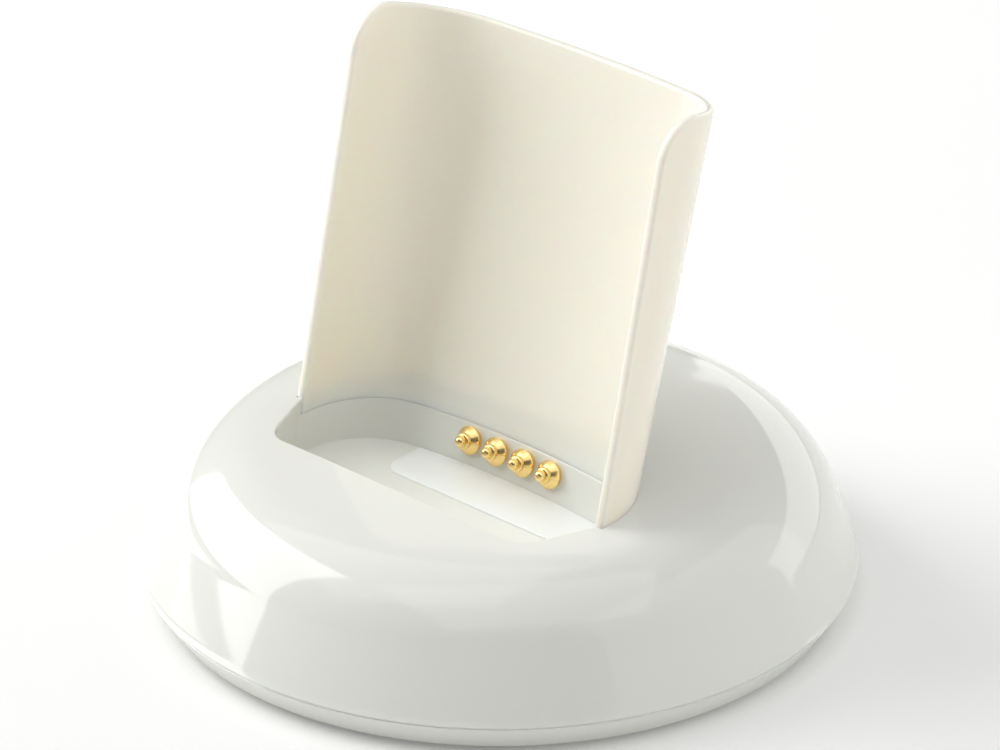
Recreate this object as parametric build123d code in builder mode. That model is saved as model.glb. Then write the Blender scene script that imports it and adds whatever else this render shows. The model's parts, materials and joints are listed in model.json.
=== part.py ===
from build123d import *
from math import cos, radians, sin, sqrt, tan
import os

os.makedirs("parts", exist_ok=True)

# Charging stand of a hand-held pipette controller. Millimetres, z = 0 on the bench, front to -Y.

# Base: a bevelled cover below the seam, a flared and domed housing above it
foot_proud = 0.8
base_margin = 22.8
cover_rise = 3.8
cover_inset = 2.4
cover_floor = 2.0
waist_inset = 4.25
waist_rise = 9.2
waist_draft = 20.0
crown_shift = 1.0
crown_rise = 19.34
dome_radius = 295.0
shell = 2.0
lining_out = 5.0
lining_drop = 2.4
lining_dip = 0.6
seam_bevel = 0.15

# Lip of the cover inside the housing
lip_height = 1.6
lip_wall = 1.2
lip_inset = 1.4

# Back support: a leaning U section open to the front
lean = 15.5
support_y = 2.52
support_rise = 16.2
channel_half = 27.2
channel_corner = 11.2
channel_bow_radius = 140.0
support_wall = 1.4
support_height = 55.0
foot_depth = 13.34
top_depth = 15.84
front_corner = 6.2
support_edge = 0.35

# Its seat: a ledge in the housing, and a tongue in a groove below the ledge
ledge_rise = 15.5
tongue_wall = 0.7
tongue_depth = 4.0
tongue_gap_half = 11.5
seat_gap = 0.05
seat_wall = 1.6

# Pocket for the foot of the controller
pocket_floor_rise = 9.6
crease_depth = 13.6
pocket_front_half = 23.6
pocket_front_depth = 23.5
pocket_front_bulge = 1.1
pocket_front_corner = 4.3
pocket_edge = 0.4

# Spring contacts in the pocket's back wall, across the lean
contact_count = 4
contact_pitch = 5.0
contact_drop = 2.9
collar_radius = 2.025
collar_back = 1.1
collar_rim = 0.15
collar_crown = 0.45
nose_radius = 1.125
nose_reach = 1.15
nose_lip = 0.4
barrel_wall = 0.195
barrel_end = 0.85
tip_radius = 0.75
tip_reach = 2.35
tip_bevel = 0.35
plunger_head = 2.9
plunger_stop = 0.02
slide_gap = 0.03
spring_wire = 0.22
spring_turns = 6
spring_facets = 8
spring_gap = 0.05

# Insulating carrier and board behind the pocket wall
pad_depth = 4.5
carrier_width = 28.0
carrier_height = 7.2
carrier_wall = 3.0
contact_board_height = 10.0
contact_board_wall = 1.0
carrier_screw_inset = 2.5
header_width = 8.0
header_height = 2.6
header_depth = 2.5
header_margin = 0.4

# Charging board under the rear of the dome
board_width = 32.0
board_length = 25.0
board_inset = 10.0
board_wall = 1.6
board_rise = 9.0
board_screw_inset = 3.0
board_screw_edge = 4.0
board_boss_radius = 2.6
main_header_edge = 6.0
chip_size = 5.0
chip_height = 1.2
chip_place = (-1.5, 2.0)
choke_size = 7.0
choke_height = 3.2
choke_place = (9.5, 0.0)
capacitor_radius = 3.15
capacitor_height = 7.0
capacitor_x = -11.5
capacitor_pitch = 6.5
ribbon_width = 5.0
ribbon_wall = 0.9

# Socket for the mains adapter
jack_width = 7.0
jack_height = 6.4
jack_length = 11.0
jack_inset = 3.5
jack_bore_radius = 1.8
jack_bore_depth = 9.0
jack_pin_radius = 0.65
jack_pin_length = 8.5
jack_gap = 0.15

# Steel plate, feet and screws
ballast_width = 60.0
ballast_length = 38.0
ballast_y = -16.0
ballast_wall = 4.0
ballast_corner = 6.0
ballast_screw_inset = 6.0
pillar_radius = 3.5
pillar_height = 2.2
foot_radius = 5.0
foot_wall = 1.5
foot_inset = 10.0
foot_angle = 52.0
cover_screw_inset = 10.0
cover_screw_angle = 22.0
cover_boss_radius = 3.2
cover_pad_radius = 4.5
cover_pad_height = 2.0
rib_wall = 1.2
rib_drop = 1.2
screw_gap = 0.05
cover_screw = {"shank": 1.45, "length": 11.0, "head": 2.6, "height": 1.7}
small_screw = {"shank": 1.0, "length": 5.4, "head": 1.9, "height": 1.4}
ballast_screw = {"shank": 1.25, "length": 7.2, "head": 2.3, "height": 1.6}

# Heights over the bench
cover_z = foot_proud
seam_z = cover_z + cover_rise
waist_z = seam_z + waist_rise
crown_z = seam_z + crown_rise
ledge_z = seam_z + ledge_rise
pocket_floor_z = seam_z + pocket_floor_rise
floor_z = cover_z + cover_floor
pad_z = floor_z + cover_pad_height
ballast_z = floor_z + pillar_height
board_z = seam_z + board_rise
board_top_z = board_z + board_wall

# Radii of the base, set by the width of the channel, and places round it
seam_radius = channel_half + base_margin
cover_edge_radius = seam_radius - cover_inset
waist_radius = seam_radius - waist_inset
foot_ring = seam_radius - foot_inset
foot_x = 2 * foot_ring * cos(radians(foot_angle))
foot_y = 2 * foot_ring * sin(radians(foot_angle))
cover_screw_ring = seam_radius - cover_screw_inset
cover_screw_x = 2 * cover_screw_ring * cos(radians(cover_screw_angle))
cover_screw_y = 2 * cover_screw_ring * sin(radians(cover_screw_angle))
jack_face_y = seam_radius - jack_inset
board_y = seam_radius - board_inset - board_length / 2
board_screw_x = board_width - 2 * board_screw_inset
board_screw_y = board_y - board_length / 2 + board_screw_edge
main_header_y = board_y - board_length / 2 + main_header_edge
ballast_screw_x = ballast_width - 2 * ballast_screw_inset
carrier_screw_x = carrier_width - 2 * carrier_screw_inset

# Directions of the leaning parts: up along the support, and forward out of its back
slope = radians(lean)
up = Vector(0, sin(slope), cos(slope))
forward = Vector(0, -cos(slope), sin(slope))
lean_origin = Vector(0, support_y, seam_z + support_rise)
lean_plane = Plane(origin=lean_origin, x_dir=(-1, 0, 0), z_dir=up)
side_plane = Plane(origin=lean_origin, x_dir=forward, z_dir=(-1, 0, 0))
contact_origin = lean_origin - up * contact_drop
contact_plane = Plane(origin=contact_origin, x_dir=(1, 0, 0), z_dir=forward)
reach = support_height + seam_radius


def lining(inset):
    # Straight-sided form of the housing, moved in by the inset, for what lies behind its skin
    with BuildPart() as body:
        with BuildSketch(Plane.XY.offset(seam_z)):
            Circle(seam_radius - inset)
        with BuildSketch(Plane.XY.offset(waist_z)):
            with Locations((0, crown_shift)):
                Circle(waist_radius - inset)
        with BuildSketch(Plane.XY.offset(brow_z - inset - lining_drop)):
            with Locations((0, crown_shift)):
                Circle(brow_radius + lining_out)
        with BuildSketch(Plane.XY.offset(brow_z - inset)):
            with Locations((0, crown_shift)):
                Circle(brow_radius)
        with BuildSketch(Plane.XY.offset(crown_z - inset - lining_dip)):
            with Locations((0, crown_shift)):
                Circle(brow_radius / 2)
        loft(ruled=True)
    return body.part


def channel(grow, depth, mode=Mode.ADD):
    # U outline in the lean plane, grown outwards from the inner face: bowed back, round corners
    side = channel_half + grow
    corner_x = channel_half - channel_corner
    spread = channel_bow_radius - channel_corner
    rise = sqrt(spread**2 - corner_x**2)
    bow_radius = channel_bow_radius + grow
    meet_x = corner_x * bow_radius / spread
    meet_y = channel_corner + rise - rise * bow_radius / spread
    with BuildLine() as outline:
        Polyline((-side, channel_corner), (-side, depth), (side, depth), (side, channel_corner))
        TangentArc((-side, channel_corner), (-meet_x, meet_y), tangent=(0, -1))
        ThreePointArc((-meet_x, meet_y), (0, channel_corner + rise - bow_radius), (meet_x, meet_y))
        TangentArc((side, channel_corner), (meet_x, meet_y), tangent=(0, -1))
    make_face(outline.edges(), mode=mode)


def pocket_outline():
    # The channel up to the crease, then walls that close in on a slightly bulged front
    channel(0, crease_depth)
    with BuildSketch(mode=Mode.PRIVATE) as front:
        with BuildLine():
            Polyline(
                (-pocket_front_half, pocket_front_depth),
                (-channel_half, crease_depth),
                (channel_half, crease_depth),
                (pocket_front_half, pocket_front_depth),
            )
            ThreePointArc(
                (pocket_front_half, pocket_front_depth),
                (0, pocket_front_depth + pocket_front_bulge),
                (-pocket_front_half, pocket_front_depth),
            )
        make_face()
        fillet(front.vertices().group_by(Axis.Y)[-1], pocket_front_corner)
    add(front.sketch)


def front_edge(depth_gap, top_round):
    # Side view of the support in the side plane, from behind its back to its sloping front edge
    step = (top_depth - foot_depth) / support_height
    low = foot_depth - step * seam_radius + depth_gap
    with BuildSketch(side_plane) as profile:
        with BuildLine():
            Polyline(
                (-channel_half, -seam_radius),
                (-channel_half, support_height),
                (top_depth + depth_gap, support_height),
                (low, -seam_radius),
                close=True,
            )
        make_face()
        if top_round:
            fillet(profile.vertices().group_by(Axis.Y)[-1].sort_by(Axis.X)[-1], top_round)
    extrude(profile.sketch, amount=reach, both=True, mode=Mode.INTERSECT)


def screw(shank, length, head, height):
    # Cheese-head screw pointing up, its head below z = 0, with a cross recess
    with BuildPart() as body:
        Cylinder(shank, length, align=(Align.CENTER, Align.CENTER, Align.MIN))
        Cylinder(head, height, align=(Align.CENTER, Align.CENTER, Align.MAX))
        with BuildSketch(Plane.XY.offset(-height)):
            Rectangle(head * 1.1, head * 0.26)
            Rectangle(head * 0.26, head * 1.1)
        extrude(amount=height * 0.55, mode=Mode.SUBTRACT)
    return body.part


def save(piece, label):
    piece.label = label
    export_step(piece, f"parts/{label}.step")


# Outer form: flare from the seam to the waist, then a round shoulder tangent to the dome
draft = radians(waist_draft)
flare_radius = (seam_radius + 3 * waist_radius + waist_rise * tan(draft)) / 4
dome_z = crown_z - dome_radius
waist_reach = waist_radius**2 + (waist_z - dome_z) ** 2
waist_lead = waist_radius * cos(draft) + (waist_z - dome_z) * sin(draft)
shoulder_radius = (dome_radius**2 - waist_reach) / (2 * (dome_radius - waist_lead))
brow_share = dome_radius / (dome_radius - shoulder_radius)
brow_radius = brow_share * (waist_radius - shoulder_radius * cos(draft))
brow_z = dome_z + brow_share * (waist_z - shoulder_radius * sin(draft) - dome_z)
with BuildPart() as outer_form:
    for share, radius in ((0, seam_radius), (0.5, flare_radius), (1, waist_radius)):
        with BuildSketch(Plane.XY.offset(seam_z + share * waist_rise)):
            with Locations((0, share * crown_shift)):
                Circle(radius)
    loft()
    with BuildSketch(Plane.XZ.offset(-crown_shift)):
        with BuildLine():
            TangentArc((waist_radius, waist_z), (brow_radius, brow_z), tangent=(-sin(draft), cos(draft)))
            RadiusArc((brow_radius, brow_z), (0, crown_z), -dome_radius)
            Polyline((0, crown_z), (0, waist_z), (waist_radius, waist_z))
        make_face()
    revolve(axis=Axis((0, crown_shift, 0), (0, 0, 1)))

# Space of the pocket, cut parallel to the lean down to its level floor
with BuildPart() as pocket_space:
    with BuildSketch(lean_plane.offset(-seam_radius)):
        pocket_outline()
    extrude(amount=reach)
    split(bisect_by=Plane.XY.offset(pocket_floor_z), keep=Keep.TOP)

# Space that the support fills above the ledge
with BuildPart() as seat_space:
    with BuildSketch(lean_plane.offset(-seam_radius)):
        channel(support_wall + seat_gap, reach)
    extrude(amount=reach)
    front_edge(seat_gap, 0)
    split(bisect_by=Plane.XY.offset(ledge_z), keep=Keep.TOP)


def tongue(gap):
    # Tongue below the ledge, in the outer half of the wall, broken where the contacts pass
    with BuildPart() as body:
        with BuildSketch(lean_plane.offset(-seam_radius)):
            channel(support_wall + gap, foot_depth - support_wall + gap)
            channel(support_wall - tongue_wall - gap, reach, Mode.SUBTRACT)
            with Locations((0, 0)):
                Rectangle(2 * (tongue_gap_half - gap), channel_half, mode=Mode.SUBTRACT)
        extrude(amount=reach)
        split(bisect_by=Plane.XY.offset(ledge_z - tongue_depth - gap), keep=Keep.TOP)
        split(bisect_by=Plane.XY.offset(ledge_z + gap), keep=Keep.BOTTOM)
    return body.part


support_tongue = tongue(0)
support_groove = tongue(seat_gap)

# Walls round the pocket, screw bosses and ribs, all reaching into the skin of the dome
with BuildPart() as core:
    with BuildSketch(lean_plane.offset(-seam_radius)):
        pocket_outline()
        offset(amount=shell)
        channel(support_wall + seat_wall, crease_depth + shell)
    extrude(amount=reach)
    with BuildSketch(contact_plane.offset(-pad_depth)):
        Rectangle(carrier_width, carrier_height)
    extrude(amount=pad_depth)
    split(bisect_by=Plane.XY.offset(pocket_floor_z - shell), keep=Keep.TOP)
    with BuildSketch(Plane.XY.offset(pad_z)):
        with GridLocations(cover_screw_x, cover_screw_y, 2, 2):
            Circle(cover_boss_radius)
    extrude(amount=crown_z - pad_z)
    with BuildSketch(Plane.XY.offset(board_top_z)):
        with Locations((0, board_screw_y)):
            with GridLocations(board_screw_x, 0, 2, 1):
                Circle(board_boss_radius)
    extrude(amount=crown_z - board_top_z)
    with BuildSketch(Plane.XY.offset(pocket_floor_z - shell - rib_drop)):
        with Locations((0, -cover_screw_y / 2)):
            Rectangle(cover_screw_x, rib_wall)
        with Locations((-channel_corner, -seam_radius / 2), (channel_corner, -seam_radius / 2)):
            Rectangle(rib_wall, seam_radius)
    extrude(amount=crown_z - pocket_floor_z)
    add(lining(shell / 2), mode=Mode.INTERSECT)
    add(pocket_space.part, mode=Mode.SUBTRACT)

contact_places = [
    (index - (contact_count - 1) / 2) * contact_pitch for index in range(contact_count)
]


def on_mouth(edge):
    # Edges where the dome breaks into the pocket, in front of the crease
    in_front = lean_plane.to_local_coords(edge.center()).Y > crease_depth
    return in_front and edge.center().Z > waist_z and abs(edge.tangent_at(0.5).Z) < 0.5


with BuildPart() as upper_housing:
    add(outer_form.part)
    chamfer(upper_housing.edges().group_by(Axis.Z)[0], seam_bevel)
    outer_edges = upper_housing.edges()
    add(pocket_space.part, mode=Mode.SUBTRACT)
    chamfer((upper_housing.edges() - outer_edges).filter_by(on_mouth), pocket_edge)
    add(lining(shell), mode=Mode.SUBTRACT)
    add(core.part)
    add(seat_space.part, mode=Mode.SUBTRACT)
    add(support_groove, mode=Mode.SUBTRACT)
    with BuildSketch(contact_plane):
        with GridLocations(contact_pitch, 0, contact_count, 1):
            Circle(nose_radius + slide_gap)
    extrude(amount=-pad_depth, mode=Mode.SUBTRACT)
    with BuildSketch(contact_plane.offset(-collar_back)):
        with GridLocations(contact_pitch, 0, contact_count, 1):
            Circle(collar_radius + seat_gap)
    extrude(amount=collar_back, mode=Mode.SUBTRACT)
    with BuildSketch(contact_plane.offset(-pad_depth)):
        with GridLocations(carrier_screw_x, 0, 2, 1):
            Circle(small_screw["shank"] + screw_gap)
    extrude(
        amount=small_screw["length"] - carrier_wall - contact_board_wall + screw_gap,
        mode=Mode.SUBTRACT,
    )
    with BuildSketch(Plane.XY.offset(pad_z)):
        with GridLocations(cover_screw_x, cover_screw_y, 2, 2):
            Circle(cover_screw["shank"] + screw_gap)
    extrude(amount=cover_screw["length"] - cover_pad_height + screw_gap, mode=Mode.SUBTRACT)
    with BuildSketch(Plane.XY.offset(board_top_z)):
        with Locations((0, board_screw_y)):
            with GridLocations(board_screw_x, 0, 2, 1):
                Circle(small_screw["shank"] + screw_gap)
    extrude(amount=small_screw["length"] - board_wall + screw_gap, mode=Mode.SUBTRACT)
    with BuildSketch(Plane.XY.offset(board_z - jack_height - jack_gap)):
        with Locations((0, jack_face_y)):
            Rectangle(jack_width + 2 * jack_gap, jack_length)
    extrude(amount=jack_height + 2 * jack_gap, mode=Mode.SUBTRACT)
save(upper_housing.part, "upper_housing")


def on_rim(edge):
    # Long edges round the top and front of the support, but not those that run up its back
    place = lean_plane.to_local_coords(edge.center())
    runs_up_back = edge.geom_type == GeomType.LINE and place.Y < channel_corner + support_wall
    return place.Z > support_height / 3 and edge.length > 1.2 * support_wall and not runs_up_back


with BuildPart() as back_support:
    with BuildSketch(lean_plane.offset(-seam_radius)):
        channel(support_wall, reach)
        channel(0, reach, Mode.SUBTRACT)
    extrude(amount=reach)
    front_edge(0, front_corner)
    split(bisect_by=Plane.XY.offset(ledge_z), keep=Keep.TOP)
    chamfer(back_support.edges().filter_by(on_rim), support_edge)
    add(support_tongue)
save(back_support.part, "back_support")

with BuildPart() as bottom_cover:
    with BuildSketch(Plane.XZ):
        with BuildLine():
            Polyline(
                (0, cover_z),
                (cover_edge_radius, cover_z),
                (seam_radius - seam_bevel, seam_z - seam_bevel),
                (seam_radius - 2 * seam_bevel, seam_z),
                (seam_radius - shell - lip_inset, seam_z),
                (seam_radius - shell - lip_inset, seam_z + lip_height),
                (seam_radius - shell - lip_inset - lip_wall, seam_z + lip_height),
                (seam_radius - shell - lip_inset - lip_wall, floor_z),
                (0, floor_z),
                close=True,
            )
        make_face()
    revolve(axis=Axis.Z)
    with BuildSketch(Plane.XY.offset(floor_z)):
        with GridLocations(cover_screw_x, cover_screw_y, 2, 2):
            Circle(cover_pad_radius)
    extrude(amount=cover_pad_height)
    with BuildSketch(Plane.XY.offset(floor_z)):
        with Locations((0, ballast_y)):
            with GridLocations(ballast_screw_x, 0, 2, 1):
                Circle(pillar_radius)
    extrude(amount=pillar_height)
    with BuildSketch(Plane.XY.offset(cover_z)):
        with GridLocations(cover_screw_x, cover_screw_y, 2, 2):
            Circle(cover_screw["shank"] + 2 * screw_gap)
    extrude(amount=cover_floor + cover_pad_height, mode=Mode.SUBTRACT)
    with BuildSketch(Plane.XY.offset(cover_z)):
        with GridLocations(cover_screw_x, cover_screw_y, 2, 2):
            Circle(cover_screw["head"] + 2 * screw_gap)
    extrude(amount=cover_floor, mode=Mode.SUBTRACT)
    with BuildSketch(Plane.XY.offset(ballast_z)):
        with Locations((0, ballast_y)):
            with GridLocations(ballast_screw_x, 0, 2, 1):
                Circle(ballast_screw["shank"] + screw_gap)
    extrude(amount=ballast_wall - ballast_screw["length"] - screw_gap, mode=Mode.SUBTRACT)
    with BuildSketch(Plane.XY.offset(cover_z)):
        with GridLocations(foot_x, foot_y, 2, 2):
            Circle(foot_radius + seat_gap)
    extrude(amount=foot_wall - foot_proud, mode=Mode.SUBTRACT)
save(bottom_cover.part, "bottom_cover")

foot_corners = ((-1, -1), (1, -1), (-1, 1), (1, 1))
for number, (side, end) in enumerate(foot_corners, 1):
    with BuildPart() as rubber_foot:
        with BuildSketch():
            with Locations((side * foot_x / 2, end * foot_y / 2)):
                Circle(foot_radius)
        extrude(amount=foot_wall)
    save(rubber_foot.part, f"rubber_foot_{number}")

with BuildPart() as ballast_plate:
    with BuildSketch(Plane.XY.offset(ballast_z)):
        with Locations((0, ballast_y)):
            RectangleRounded(ballast_width, ballast_length, ballast_corner)
            with GridLocations(ballast_screw_x, 0, 2, 1):
                Circle(ballast_screw["shank"] + 2 * screw_gap, mode=Mode.SUBTRACT)
    extrude(amount=ballast_wall)
save(ballast_plate.part, "ballast_plate")

with BuildPart() as contact_carrier:
    with BuildSketch(contact_plane.offset(-pad_depth)):
        Rectangle(carrier_width, carrier_height)
        with GridLocations(contact_pitch, 0, contact_count, 1):
            Circle(nose_radius + slide_gap, mode=Mode.SUBTRACT)
        with GridLocations(carrier_screw_x, 0, 2, 1):
            Circle(small_screw["shank"] + 2 * screw_gap, mode=Mode.SUBTRACT)
    extrude(amount=-carrier_wall)
save(contact_carrier.part, "contact_carrier")

contact_board_depth = pad_depth + carrier_wall
contact_board_drop = (contact_board_height - carrier_height) / 2
header_drop = contact_board_drop + contact_board_height / 2 - header_margin - header_height / 2
with BuildPart() as contact_board:
    with BuildSketch(contact_plane.offset(-contact_board_depth)):
        with Locations((0, -contact_board_drop)):
            Rectangle(carrier_width, contact_board_height)
        with GridLocations(carrier_screw_x, 0, 2, 1):
            Circle(small_screw["shank"] + 2 * screw_gap, mode=Mode.SUBTRACT)
    extrude(amount=-contact_board_wall)
save(contact_board.part, "contact_board")

header_plane = contact_plane.offset(-contact_board_depth - contact_board_wall)
with BuildPart() as contact_header:
    with BuildSketch(header_plane):
        with Locations((0, -header_drop)):
            Rectangle(header_width, header_height)
    extrude(amount=-header_depth)
save(contact_header.part, "contact_header")

# Each contact: axis along the pin, profile drawn as radius and distance in front of the wall
bore_radius = nose_radius - barrel_wall
barrel_back = contact_board_depth
bore_back = barrel_back - barrel_end
stop_depth = nose_reach - nose_lip
head_front = stop_depth - plunger_stop
head_back = head_front - plunger_head


def contact_barrel(x):
    place = contact_origin + Vector(x, 0, 0)
    with BuildPart() as body:
        with BuildSketch(Plane(origin=place, x_dir=(1, 0, 0), z_dir=-up)):
            with BuildLine():
                Polyline(
                    (nose_radius, collar_crown),
                    (nose_radius, nose_reach),
                    (tip_radius + slide_gap, nose_reach),
                    (tip_radius + slide_gap, stop_depth),
                    (bore_radius, stop_depth),
                    (bore_radius, -bore_back),
                    (0, -bore_back),
                    (0, -barrel_back),
                    (nose_radius, -barrel_back),
                    (nose_radius, -collar_back),
                    (collar_radius, -collar_back),
                    (collar_radius, -collar_rim),
                    close=True,
                )
            make_face()
        revolve(axis=Axis(place, forward))
    return body.part


def contact_plunger(x):
    place = contact_origin + Vector(x, 0, 0)
    with BuildPart() as body:
        with BuildSketch(Plane(origin=place, x_dir=(1, 0, 0), z_dir=-up)) as profile:
            with BuildLine():
                Polyline(
                    (0, tip_reach),
                    (tip_radius, tip_reach),
                    (tip_radius, head_front),
                    (bore_radius - slide_gap, head_front),
                    (bore_radius - slide_gap, head_back),
                    (0, head_back),
                    close=True,
                )
            make_face()
            chamfer(profile.vertices().group_by(Axis.Y)[-1].sort_by(Axis.X)[-1], tip_bevel)
        revolve(axis=Axis(place, forward))
    return body.part


def contact_spring(x):
    # Coil between the plunger's head and the closed end of the barrel
    free = head_back + bore_back - 2 * slide_gap - spring_wire
    coil_radius = bore_radius - spring_gap - spring_wire / 2
    place = contact_origin + Vector(x, 0, 0) - forward * (bore_back - slide_gap - spring_wire / 2)
    with BuildPart() as body:
        with BuildLine() as coil:
            Helix(free / spring_turns, free, coil_radius, center=place, direction=forward)
        for step in range(spring_facets * spring_turns + 1):
            along = step / (spring_facets * spring_turns)
            with BuildSketch(Plane(origin=coil.line @ along, x_dir=forward, z_dir=coil.line % along)):
                Rectangle(spring_wire, spring_wire)
        loft(ruled=True)
    return body.part


for number, x in enumerate(contact_places, 1):
    save(contact_barrel(x), f"contact_barrel_{number}")
    save(contact_plunger(x), f"contact_plunger_{number}")
    save(contact_spring(x), f"contact_spring_{number}")

with BuildPart() as main_board:
    with BuildSketch(Plane.XY.offset(board_z)):
        with Locations((0, board_y)):
            Rectangle(board_width, board_length)
        with Locations((0, board_screw_y)):
            with GridLocations(board_screw_x, 0, 2, 1):
                Circle(small_screw["shank"] + 2 * screw_gap, mode=Mode.SUBTRACT)
    extrude(amount=board_wall)
save(main_board.part, "main_board")

with BuildPart() as main_header:
    with BuildSketch(Plane.XY.offset(board_z)):
        with Locations((0, main_header_y)):
            Rectangle(header_width, header_depth)
    extrude(amount=-header_height)
save(main_header.part, "main_header")

with BuildPart() as charge_chip:
    with BuildSketch(Plane.XY.offset(board_z)):
        with Locations((chip_place[0], board_y + chip_place[1])):
            Rectangle(chip_size, chip_size)
    extrude(amount=-chip_height)
save(charge_chip.part, "charge_chip")

with BuildPart() as choke:
    with BuildSketch(Plane.XY.offset(board_z)):
        with Locations((choke_place[0], board_y + choke_place[1])):
            Rectangle(choke_size, choke_size)
    extrude(amount=-choke_height)
save(choke.part, "choke")

with BuildPart() as capacitors:
    with BuildSketch(Plane.XY.offset(board_z)):
        with Locations((capacitor_x, board_y)):
            with GridLocations(0, capacitor_pitch, 1, 2):
                Circle(capacitor_radius)
    extrude(amount=-capacitor_height)
save(capacitors.part, "capacitors")

# Flat cable, bent in the middle plane from one header to the other
contact_end = header_plane.origin - up * header_drop - forward * header_depth
main_end = (main_header_y - header_depth / 2, board_z - header_height / 2)
slack = header_depth
with BuildPart() as ribbon_cable:
    with BuildSketch(Plane.YZ):
        with BuildLine():
            FilletPolyline(
                (contact_end.Y, contact_end.Z),
                (contact_end.Y + slack * cos(slope), contact_end.Z - slack * sin(slope)),
                (main_end[0] - 2 * ribbon_wall, main_end[1]),
                main_end,
                radius=ribbon_wall,
            )
        trace(line_width=ribbon_wall)
    extrude(amount=ribbon_width / 2, both=True)
save(ribbon_cable.part, "ribbon_cable")

jack_z = board_z - jack_height / 2
jack_face = Plane(origin=(0, jack_face_y, jack_z), x_dir=(1, 0, 0), z_dir=(0, -1, 0))
with BuildPart() as power_jack:
    with BuildSketch(jack_face):
        RectangleRounded(jack_width, jack_height, jack_gap * 2)
    extrude(amount=jack_length)
    with BuildSketch(jack_face):
        Circle(jack_bore_radius)
    extrude(amount=jack_bore_depth, mode=Mode.SUBTRACT)
save(power_jack.part, "power_jack")

with BuildPart() as jack_pin:
    with BuildSketch(jack_face.offset(jack_bore_depth)):
        Circle(jack_pin_radius)
    extrude(amount=-jack_pin_length)
    chamfer(jack_pin.edges().group_by(Axis.Y)[-1], jack_pin_radius / 2)
save(jack_pin.part, "jack_pin")

with BuildPart(Plane.XY.offset(floor_z)) as cover_screws:
    with GridLocations(cover_screw_x, cover_screw_y, 2, 2):
        add(screw(**cover_screw))
save(cover_screws.part, "cover_screws")

with BuildPart(Plane.XY.offset(board_z)) as board_screws:
    with Locations((0, board_screw_y)):
        with GridLocations(board_screw_x, 0, 2, 1):
            add(screw(**small_screw))
save(board_screws.part, "board_screws")

ballast_top = Plane(origin=(0, ballast_y, ballast_z + ballast_wall), z_dir=(0, 0, -1))
with BuildPart(ballast_top) as ballast_screws:
    with GridLocations(ballast_screw_x, 0, 2, 1):
        add(screw(**ballast_screw))
save(ballast_screws.part, "ballast_screws")

with BuildPart(header_plane) as carrier_screws:
    with GridLocations(carrier_screw_x, 0, 2, 1):
        add(screw(**small_screw))
save(carrier_screws.part, "carrier_screws")
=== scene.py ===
import bmesh
import bpy
import json
from collections import namedtuple
from math import asin, atan2, cos, pi, radians, sin, sqrt, tan
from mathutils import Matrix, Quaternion, Vector


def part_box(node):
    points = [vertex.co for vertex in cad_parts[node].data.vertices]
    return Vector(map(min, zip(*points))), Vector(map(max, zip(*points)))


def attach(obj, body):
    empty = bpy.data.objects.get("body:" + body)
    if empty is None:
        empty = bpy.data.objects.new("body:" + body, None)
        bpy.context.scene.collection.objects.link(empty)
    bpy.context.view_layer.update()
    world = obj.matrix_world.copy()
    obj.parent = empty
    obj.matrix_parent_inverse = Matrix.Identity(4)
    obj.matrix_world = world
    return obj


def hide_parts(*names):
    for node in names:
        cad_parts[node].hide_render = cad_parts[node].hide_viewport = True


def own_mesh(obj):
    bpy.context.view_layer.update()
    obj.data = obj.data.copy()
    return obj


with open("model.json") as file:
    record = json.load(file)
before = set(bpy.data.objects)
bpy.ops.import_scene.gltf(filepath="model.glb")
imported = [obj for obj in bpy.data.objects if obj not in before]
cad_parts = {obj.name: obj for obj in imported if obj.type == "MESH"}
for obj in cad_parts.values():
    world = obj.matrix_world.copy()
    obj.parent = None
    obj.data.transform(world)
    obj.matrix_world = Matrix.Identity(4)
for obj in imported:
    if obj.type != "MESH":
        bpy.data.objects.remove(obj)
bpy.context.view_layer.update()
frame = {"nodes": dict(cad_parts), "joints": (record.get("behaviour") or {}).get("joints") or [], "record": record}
mounts = {mount["name"]: mount for mount in frame["record"]["mounts"]}
print("frame loaded,", len(frame["nodes"]), "nodes")

# Lengths in the dictionaries are millimetres and angles are degrees, unless a note says otherwise
toMetres, toMillimetres = 0.001, 1000


viewSetup = {
    "azimuth": 42.74,
    "elevation": 26.93,
    "distance": 750.0,
    "lens": 197.2,
    "sensor": 36.0,
    "nearest": 10.0,  # nothing closer than this is drawn
    "aim": (0.0, 0.0, 31.3),
    "aimRight": 0.11,
    "aimUp": 0.13,
}


def awayAt(azimuth, elevation):
    # Unit vector from the stand at these angles; 0, 0 points to the front
    azimuth, elevation = radians(azimuth), radians(elevation)
    return Vector((sin(azimuth) * cos(elevation), -cos(azimuth) * cos(elevation), sin(elevation)))


def addCamera(setup):
    back = awayAt(setup["azimuth"], setup["elevation"])
    azimuth = radians(setup["azimuth"])
    right = Vector((cos(azimuth), sin(azimuth), 0))
    upward = back.cross(right)
    place = Vector(setup["aim"]) + right * setup["aimRight"] + upward * setup["aimUp"]
    data = bpy.data.cameras.new("viewCamera")
    data.lens = setup["lens"]
    data.sensor_width = setup["sensor"]
    data.clip_start = setup["nearest"] * toMetres
    data.dof.use_dof = False
    camera = bpy.data.objects.new("viewCamera", data)
    camera.location = (place + back * setup["distance"]) * toMetres
    camera.rotation_euler = back.to_track_quat("Z", "Y").to_euler()
    bpy.context.scene.collection.objects.link(camera)
    bpy.context.scene.camera = camera


addCamera(viewSetup)
print("camera set")


studioSetup = {
    "tone": "Standard",  # view transform, so that a white floor comes out white
    "worldColor": (1.0, 1.0, 0.99),
    "worldTop": 0.19,  # brightness straight up
    "worldLow": 0.09,  # brightness at the horizon
    "floorColor": (0.84, 0.84, 0.83),
    "floorGlow": 0.09,
    "floorRough": 0.9,
    "floorHalf": 3000.0,
    "boxDistance": 1500.0,
    "boxAim": 20.0,  # height of the point that the soft boxes stand around
}

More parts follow.
